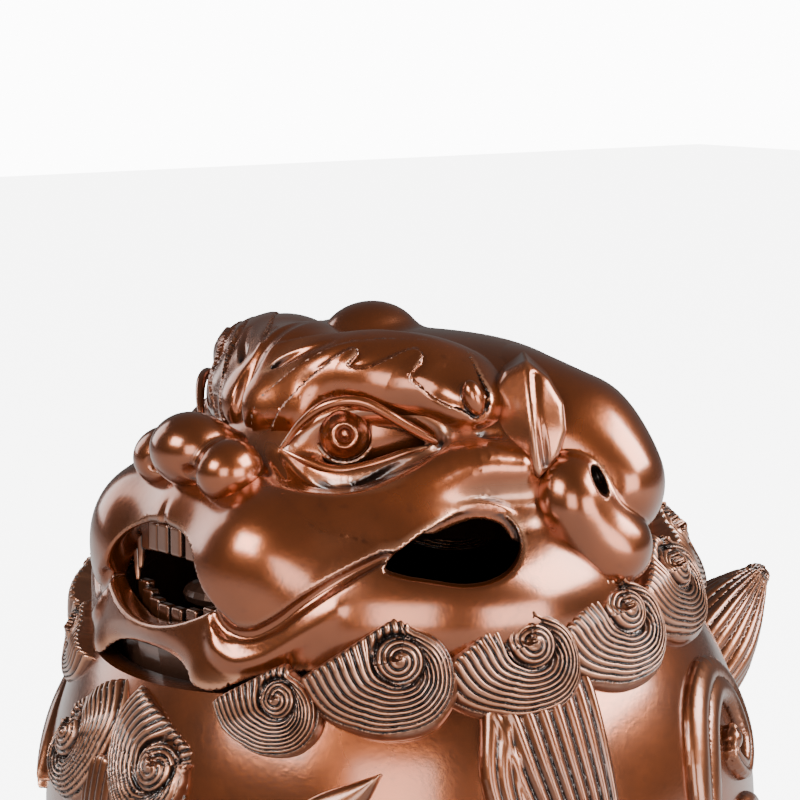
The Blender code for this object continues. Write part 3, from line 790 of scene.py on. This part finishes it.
def make_mesh(name, points, faces):
    """A mesh from arrays of points and of faces that all have as many corners."""
    mesh = bpy.data.meshes.new(name)
    faces = np.asarray(faces)
    mesh.vertices.add(len(points))
    mesh.vertices.foreach_set("co", points.astype(np.float32).ravel())
    mesh.loops.add(faces.size)
    mesh.loops.foreach_set("vertex_index", faces.astype(np.int32).ravel())
    mesh.polygons.add(len(faces))
    mesh.polygons.foreach_set("loop_start", np.arange(len(faces), dtype=np.int32) * faces.shape[1])
    mesh.update(calc_edges=True)
    mesh.validate()
    return mesh


def add(name, data):
    """A new object in the scene."""
    obj = bpy.data.objects.new(name, data)
    bpy.context.scene.collection.objects.link(obj)
    return obj


def thinned(mesh, faces_wanted):
    """The mesh with its flat regions simplified to about that many triangles."""
    now = sum(len(p.vertices) - 2 for p in mesh.polygons)
    if now <= faces_wanted:
        return mesh
    holder = add("thinning", mesh)
    modifier = holder.modifiers.new("thin", "DECIMATE")
    modifier.ratio = faces_wanted / now
    graph = bpy.context.evaluated_depsgraph_get()
    done = bpy.data.meshes.new_from_object(holder.evaluated_get(graph))
    bpy.data.objects.remove(holder)
    return done


def positions(mesh):
    """Where the mesh's vertices are, one row each."""
    p = np.zeros(len(mesh.vertices) * 3, np.float32)
    mesh.vertices.foreach_get("co", p)
    return p.reshape(-1, 3)


def note(mesh, word, values):
    """Give each vertex a value that the bronze reads by its name."""
    layer = mesh.attributes.new(word, "FLOAT", "POINT")
    layer.data.foreach_set("value", values.astype(np.float32))


def smooth(mesh):
    mesh.polygons.foreach_set("use_smooth", np.ones(len(mesh.polygons), bool))


def sculpt(name, field, low, high, pitch, budget):
    """A mesh of a field, with its hollows noted for the patina and painted shade, and its edges
    for the patina.
    """
    points, faces = skin(field, low, high, pitch)
    mesh = thinned(make_mesh(name, points, faces), budget)
    mesh.name = name
    p = positions(mesh).astype(float)
    for _ in range(2):
        g = slope(field, p)
        size = np.maximum((g * g).sum(1), 0.2)
        move = np.clip(field(p) / size, -pitch * 0.6, pitch * 0.6)
        p -= g * move[:, None]
    g = slope(field, p)
    normal = g / np.maximum(np.linalg.norm(g, axis=1), 1e-6)[:, None]
    # how closed in each point is: the bronze darkens it by this, as patina and as painted shade
    hollow = np.zeros(len(p))
    for reach, share in ((0.7, 0.45), (1.8, 0.35), (4.5, 0.3)):
        hollow += share * np.clip(1 - field(p + normal * reach) / reach, 0, 1)
    edge = np.clip(1 + field(p - normal * 0.9) / 0.9, 0, 1)
    mesh.vertices.foreach_set("co", to_frame(p).astype(np.float32).ravel())
    note(mesh, "hollow", hollow)
    note(mesh, "edge", edge)
    smooth(mesh)
    mesh.update()
    mesh.normals_split_custom_set_from_vertices(normal.astype(np.float32))
    return mesh


def to_frame(p):
    """Millimetres about the bowl's axis to metres in the row frame."""
    return (p + (0, BODY_Y, 0)) * MM


def mirrored(mesh, name):
    """The same piece for the dog's other side."""
    other = mesh.copy()
    other.name = name
    p = positions(other)
    p[:, 0] *= -1
    n = np.zeros(len(mesh.loops) * 3, np.float32)
    mesh.corner_normals.foreach_get("vector", n)
    v = np.zeros(len(mesh.loops), np.int32)
    mesh.loops.foreach_get("vertex_index", v)
    normals = np.zeros_like(p)
    normals[v] = n.reshape(-1, 3) * (-1, 1, 1)
    other.vertices.foreach_set("co", p.ravel())
    other.flip_normals()
    other.update()
    other.normals_split_custom_set_from_vertices(normals)
    return other


def place(name, mesh, body, nodes, slot="bronze"):
    """A piece whose mesh is already in the row frame."""
    obj = add(name, mesh)
    obj.data.materials.clear()
    obj.data.materials.append(LOOKS[slot])
    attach(obj, body)
    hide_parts(*nodes)


# ---------------- bronze

def bronze(name, base, dark, bright, gloss=0.2):
    """Waxed copper-brown bronze: black in the hollows from patina and painted shade, rubbed bright
    along the edges.
    """
    material = bpy.data.materials.new(name)
    material.use_nodes = True
    tree = material.node_tree
    nodes, links = tree.nodes, tree.links
    shader = nodes["Principled BSDF"]
    shader.inputs["Metallic"].default_value = 0.88
    shader.inputs["Coat Weight"].default_value = 0.85
    shader.inputs["Coat Roughness"].default_value = 0.17
    shader.inputs["IOR"].default_value = 1.5

    def node(kind, **values):
        made = nodes.new(kind)
        for key, value in values.items():
            if key in made.inputs:
                made.inputs[key].default_value = value
            else:
                setattr(made, key, value)
        return made

    def noise(scale, detail, distortion=0.0):
        made = node("ShaderNodeTexNoise", Scale=scale, Detail=detail, Distortion=distortion)
        links.new(where.outputs["Object"], made.inputs["Vector"])
        return made.outputs["Fac"]

    def remap(value, low, high, to_low=0.0, to_high=1.0):
        made = nodes.new("ShaderNodeMapRange")
        for i, x in enumerate((low, high, to_low, to_high)):
            made.inputs[i + 1].default_value = x
        links.new(value, made.inputs[0])
        return made.outputs[0]

    def mix(share, a, b):
        made = nodes.new("ShaderNodeMix")
        made.data_type = "RGBA"
        links.new(share, made.inputs["Factor"])
        for socket, value in ((made.inputs[6], a), (made.inputs[7], b)):
            if isinstance(value, tuple):
                socket.default_value = (*value, 1)
            else:
                links.new(value, socket)
        return made.outputs[2]

    def maths(operation, a, b):
        made = node("ShaderNodeMath", operation=operation)
        for i, value in enumerate((a, b)):
            if isinstance(value, (int, float)):
                made.inputs[i].default_value = value
            else:
                links.new(value, made.inputs[i])
        return made.outputs[0]

    where = nodes.new("ShaderNodeTexCoord")
    hollow = node("ShaderNodeAttribute", attribute_name="hollow").outputs["Fac"]
    edge = node("ShaderNodeAttribute", attribute_name="edge").outputs["Fac"]
    cloud = noise(38, 5, 0.3)
    grain = noise(900, 4)
    speckle = noise(320, 3)

    paler = tuple(c * k for c, k in zip(base, (1.6, 1.45, 1.3)))
    body = mix(remap(cloud, 0.32, 0.68), base, paler)
    body = mix(remap(speckle, 0.62, 0.8, 0, 0.3), body, dark)
    worn = maths("MULTIPLY", remap(edge, 0.16, 0.6), remap(cloud, 0.2, 0.7, 0.45, 1.0))
    body = mix(worn, body, bright)
    # painted shade with patina: the more closed in a point is, the nearer its colour goes to dark
    hollow_patina_and_shade = maths("MULTIPLY", remap(hollow, 0.22, 0.62), remap(speckle, 0.25, 0.6, 0.8, 1.0))
    body = mix(hollow_patina_and_shade, body, dark)
    links.new(body, shader.inputs["Base Color"])
    rough = maths("ADD", remap(cloud, 0.3, 0.7, gloss, gloss + 0.08),
                  remap(hollow, 0.25, 0.8, 0.0, 0.34))
    links.new(rough, shader.inputs["Roughness"])
    bump = node("ShaderNodeBump", Strength=0.1, Distance=0.0003)
    links.new(maths("ADD", grain, maths("MULTIPLY", speckle, 1.6)), bump.inputs["Height"])
    links.new(bump.outputs["Normal"], shader.inputs["Normal"])
    return material


BASE = (0.145, 0.038, 0.0095)
DARK = (0.018, 0.008, 0.005)
BRIGHT = (0.5, 0.22, 0.12)
SMOOTH = bronze("smooth_bronze", BASE, DARK, BRIGHT)
RELIEF = bronze("relief_bronze", (0.11, 0.036, 0.013), (0.008, 0.004, 0.003), BRIGHT, 0.27)
# painted shade: a darker copy of the bronze, for the parts that sit inside the bowl and the mouth
SHADED_INSIDE = bronze("shaded_inside_bronze", (0.05, 0.022, 0.013), (0.01, 0.005, 0.003), BASE, 0.5)
LOOKS = {"bronze": SMOOTH, "bronze_relief": RELIEF}


# ---------------- pieces

def sculpt_local(name, field, low, high, pitch, budget):
    """A mesh of a field that is laid out in its own frame, in metres."""
    mesh = sculpt(name, field, low, high, pitch, budget)
    p = positions(mesh) - np.array((0, BODY_Y * MM, 0), np.float32)
    mesh.vertices.foreach_set("co", p.ravel())
    return mesh


def frame_at(origin, out, up, scale=1.0, spin=0.0):
    """A placement whose Z points out and whose Y is as near up as it can be."""
    out = unit(out)
    across = unit(np.cross(up, out))
    turn = np.stack((across, np.cross(out, across), out), 1)
    c, s = math.cos(math.radians(spin)), math.sin(math.radians(spin))
    turn = turn @ rows((c, -s, 0), (s, c, 0), (0, 0, 1))
    return to_frame(np.array(origin, float)), turn, scale


def put(name, mesh, where, side, body, node):
    """A relief or lock from its own frame to its placement, or to the mirror of it."""
    origin, turn, scale = where
    flip = np.diag((side, 1, 1))
    turn = flip @ turn @ flip
    obj = add(name, mesh)
    matrix = np.eye(4)
    matrix[:3, :3] = turn * scale
    matrix[:3, 3] = origin * (side, 1, 1)
    obj.matrix_world = Matrix(matrix.tolist())
    if not mesh.materials:
        mesh.materials.append(RELIEF)
    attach(obj, body)
    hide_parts(node)


SIDES = ((1, "left"), (-1, "right"))
LEAN = math.radians(18.3)              # how far the locks lean back from the rim's axis
# node, degrees round from the front, radius and height at the rim, scale, spin
LOCKS = (("mane_curl_{}_1", 36.2, 66.0, 50.4, 0.78, 2),
         ("mane_curl_{}_2", 58.2, 67.2, 56.2, 0.98, 2),
         ("mane_curl_{}_3", 81.6, 67.8, 53.2, 0.98, 0),
         ("mane_curl_{}_4", 103.6, 68.6, 52.0, 1.0, -2),
         ("mane_curl_{}_5", 126, 69.2, 51.8, 1.0, -3),
         ("nape_curl_{}", 148, 69.8, 51.6, 1.0, 0))


def build_locks():
    left = sculpt_local("lock", lock, (-22, -17.5, -8.5), (13, 10, 9), 0.27, 42000)
    right = mirrored(left, "lock_mirrored")
    for name, angle, rho, height, scale, spin in LOCKS:
        middle = from_rim(angle, rho, height)
        beside = from_rim(angle, rho + 10 * math.cos(LEAN), height + 10 * math.sin(LEAN))
        above = from_rim(angle, rho - 10 * math.sin(LEAN), height + 10 * math.cos(LEAN))
        out = unit(beside - middle)
        where = frame_at(middle - out * 4.5 * scale, out, above - middle, scale, spin)
        for side, word in SIDES:
            node = name.format(word)
            put(node + "_hair", left if side > 0 else right, where, side, "head", node)


# node, field, direction from the bowl's centre, and the corners of the field's box
RELIEFS = (("chest_curl", chest_curl_field, (16, -73, 23), (-18, -16, -4), (18, 27, 7)),
           ("flank_lock", flank_field, (75, -17, 20), (-20, -46, -4), (17, 22, 6)),
           ("haunch_scroll", haunch_field, (66, 33, 22), (-22, -42, -4), (22, 20, 6)),
           ("shoulder_flame", flame_field, (51, -58, 18), (-22, -20, -4), (18, 14, 6)))


def on_bowl(way):
    """A placement upright on the bowl's surface, in that direction from its centre."""
    return frame_at(BOWL_CENTRE + unit(way) * BOWL_R, way, (0, 0, 1))


def build_reliefs():
    for name, field, way, low, high in RELIEFS:
        left = sculpt_local(name, field, low, high, 0.45, 30000)
        right = mirrored(left, name + "_mirrored")
        for side, word in SIDES:
            put(f"{name}_{word}_relief", left if side > 0 else right, on_bowl(way), side, "bowl",
                f"{name}_{word}")
    chest = sculpt_local("chest_lock", chest_lock_field, (-9, -25, -4), (9, 21, 5), 0.45, 16000)
    put("chest_lock_relief", chest, on_bowl((0, -76, 4)), 1, "bowl", "chest_lock")


def build_bowl():
    """The bowl, turned: inner face from the bottom up, flat rim, and outer face down again."""
    steps, steps_in, steps_out = 192, 40, 60
    inner = BOWL_R - BOWL_WALL
    top_in, top_out = math.asin(RIM_H / inner), math.asin(RIM_H / BOWL_R)
    profile = []
    for i in range(steps_in + 1):
        turn = -math.pi / 2 + (top_in + math.pi / 2) * i / steps_in
        profile.append((inner * math.cos(turn), inner * math.sin(turn)))
    for i in range(steps_out + 1):
        turn = top_out - (top_out + math.pi / 2) * i / steps_out
        profile.append((BOWL_R * math.cos(turn), BOWL_R * math.sin(turn)))
    profile = np.array(profile)
    turns = 2 * math.pi * np.arange(steps) / steps
    c, s = math.cos(RIM_TILT), math.sin(RIM_TILT)
    x = profile[:, 0, None] * np.sin(turns)
    y = -profile[:, 0, None] * np.cos(turns)
    z = np.broadcast_to(profile[:, 1, None], x.shape)
    points = np.stack((x, y * c - z * s, y * s + z * c), -1).reshape(-1, 3) + BOWL_CENTRE
    a = np.arange(len(profile) - 1)[:, None] * steps + np.arange(steps)
    b = np.arange(len(profile) - 1)[:, None] * steps + (np.arange(steps) + 1) % steps
    faces = np.stack((a, b, b + steps, a + steps), -1).reshape(-1, 4)
    mesh = make_mesh("bowl", to_frame(points), faces)
    hollow = np.zeros(len(points))
    # painted shade: the bowl's inner face is marked as hollow all over, so the bronze darkens it
    # as if shaded
    hollow[:(steps_in + 1) * steps] = 0.75
    note(mesh, "hollow", hollow)
    note(mesh, "edge", np.zeros(len(points)))
    smooth(mesh)
    mesh.set_sharp_from_angle(angle=math.radians(40))
    place("bowl", mesh, "bowl", ("bowl_shell",))


def build_legs():
    for end, field, low, high in (("front", front_leg_field, (25, -95, -1), (78, -20, 75)),
                                  ("rear", rear_leg_field, (28, 8, -1), (80, 75, 75))):
        left = sculpt(f"leg_{end}", field, low, high, 0.6, 40000)
        for mesh, word in ((left, "left"), (mirrored(left, f"leg_{end}_mirrored"), "right")):
            place(f"leg_{end}_{word}_cast", mesh, "bowl", (f"leg_{end}_{word}",))


def build_tail():
    mesh = sculpt("tail_hair", tail_field, (-15, 66, 76), (15, 118, 126), 0.5, 40000)
    place("tail_hair", mesh, "bowl", ("tail",), "bronze_relief")


# name, field, the corners of its box, cell size, triangles, and the nodes that it stands for
HEAD_PIECES = (
    ("head", head_field, (-75, -76, 116), (75, 60, 196), 0.7, 170000, ("head_shell",)),
    ("brows", brow_field, (-60, -54, 165), (60, 10, 200), 0.5, 80000, ("brow_left", "brow_right")),
    ("eyes", eye_field, (-40, -48, 160), (40, -10, 185), 0.6, 40000, ("eye_left", "eye_right")),
    ("ears", ear_field, (-65, -20, 155), (65, 20, 198), 0.6, 40000, ("ear_left", "ear_right")),
    ("horns", horn_field, (-75, -15, 138), (75, 40, 200), 0.7, 50000, ("horn_left", "horn_right")),
    ("eyelids", lids_field, (-50, -52, 160), (50, -5, 186), 0.4, 50000, ("eye_left", "eye_right")),
    ("teeth", teeth_field, (-22, -64, 125), (22, -48, 160), 0.4, 40000,
     ("upper_teeth", "lower_teeth")),
    ("nose", nose_field, (-20, -64, 155), (20, -30, 182), 0.5, 40000, ("nose",)))


def build_head():
    for name, field, low, high, pitch, budget, nodes in HEAD_PIECES:
        slot = "bronze_relief" if name == "teeth" else "bronze"
        place(name, sculpt(name, field, low, high, pitch, budget), "head", nodes, slot)


def finish_plain_parts():
    """Bronze for the CAD parts that are shown as they are, with painted shade on the lid flange
    and the tongue.
    """
    for node, material in (("lid_flange", SHADED_INSIDE), ("head_hinge_lug", RELIEF),
                           ("bowl_hinge_lug", RELIEF), ("hinge_pin", RELIEF), ("tongue", SHADED_INSIDE)):
        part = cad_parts[node]
        part.data.materials.clear()
        part.data.materials.append(material)


# ---------------- studio

def build_floor():
    """A white floor that looks evenly lit to the eye but sends little light up at the bronze."""
    reach = 3.0
    mesh = bpy.data.meshes.new("floor")
    mesh.from_pydata([(-reach, -reach, 0), (reach, -reach, 0), (reach, reach, 0),
                      (-reach, reach, 0)], [], [(0, 1, 2, 3)])
    floor = add("floor", mesh)
    material = bpy.data.materials.new("floor")
    material.use_nodes = True
    shader = material.node_tree.nodes["Principled BSDF"]
    shader.inputs["Base Color"].default_value = (0.35, 0.34, 0.33, 1)
    shader.inputs["Roughness"].default_value = 0.9
    shader.inputs["Specular IOR Level"].default_value = 0.1
    shader.inputs["Emission Color"].default_value = (1, 1, 1, 1)
    seen_or_not(material.node_tree, 0.3, 7, shader.inputs["Emission Strength"])
    mesh.materials.append(material)


def seen_or_not(tree, dim, bright, socket):
    """Bright to the camera and dim to everything else."""
    path = tree.nodes.new("ShaderNodeLightPath")
    strength = tree.nodes.new("ShaderNodeMapRange")
    strength.inputs["To Min"].default_value = dim
    strength.inputs["To Max"].default_value = bright
    tree.links.new(path.outputs["Is Camera Ray"], strength.inputs["Value"])
    tree.links.new(strength.outputs[0], socket)


def softbox(name, place_at, size, power, colour=(1, 1, 1)):
    """An area light that faces the middle of the object."""
    data = bpy.data.lights.new(name, "AREA")
    data.shape = "RECTANGLE"
    data.size, data.size_y = size
    data.energy = power
    data.color = colour
    lamp = add(name, data)
    lamp.location = place_at
    facing = Vector((0, 0, 0.13)) - Vector(place_at)
    lamp.rotation_euler = facing.to_track_quat("-Z", "Y").to_euler()


def build_studio():
    """White all round for the eye, but dim to the bronze apart from the soft boxes."""
    build_floor()
    world = bpy.data.worlds.new("studio")
    bpy.context.scene.world = world
    world.use_nodes = True
    background = world.node_tree.nodes["Background"]
    seen_or_not(world.node_tree, 0.14, 12, background.inputs["Strength"])
    background.inputs["Color"].default_value = (1, 1, 1, 1)
    softbox("key", (0.1, -0.95, 0.75), (0.5, 0.4), 17)
    softbox("front", (1.0, -0.85, 0.42), (0.6, 0.6), 12, (1, 0.95, 0.92))
    softbox("rear", (0.75, 0.75, 0.85), (0.8, 0.6), 42)
    softbox("right", (1.25, 0.2, 0.28), (0.7, 0.5), 15, (1, 0.93, 0.9))
    softbox("left", (-0.9, -0.3, 0.5), (0.5, 0.6), 4)


def build_camera():
    """The photograph's view: 52 degrees round from the front and a little above."""
    aim = Vector((0, BODY_Y * MM, 0.175))
    azimuth, elevation, distance = math.radians(52), math.radians(8.5), 0.6
    back = Vector((math.sin(azimuth) * math.cos(elevation),
                   -math.cos(azimuth) * math.cos(elevation), math.sin(elevation)))
    data = bpy.data.cameras.new("camera")
    data.sensor_width = 36
    data.lens = 122.7
    data.clip_start, data.clip_end = 0.05, 20
    camera = add("camera", data)
    camera.location = aim + back * distance
    camera.rotation_euler = (-back).to_track_quat("-Z", "Y").to_euler()
    bpy.context.scene.camera = camera


build_bowl()
build_locks()
build_reliefs()
build_legs()
build_tail()
build_head()
finish_plain_parts()
build_studio()
build_camera()
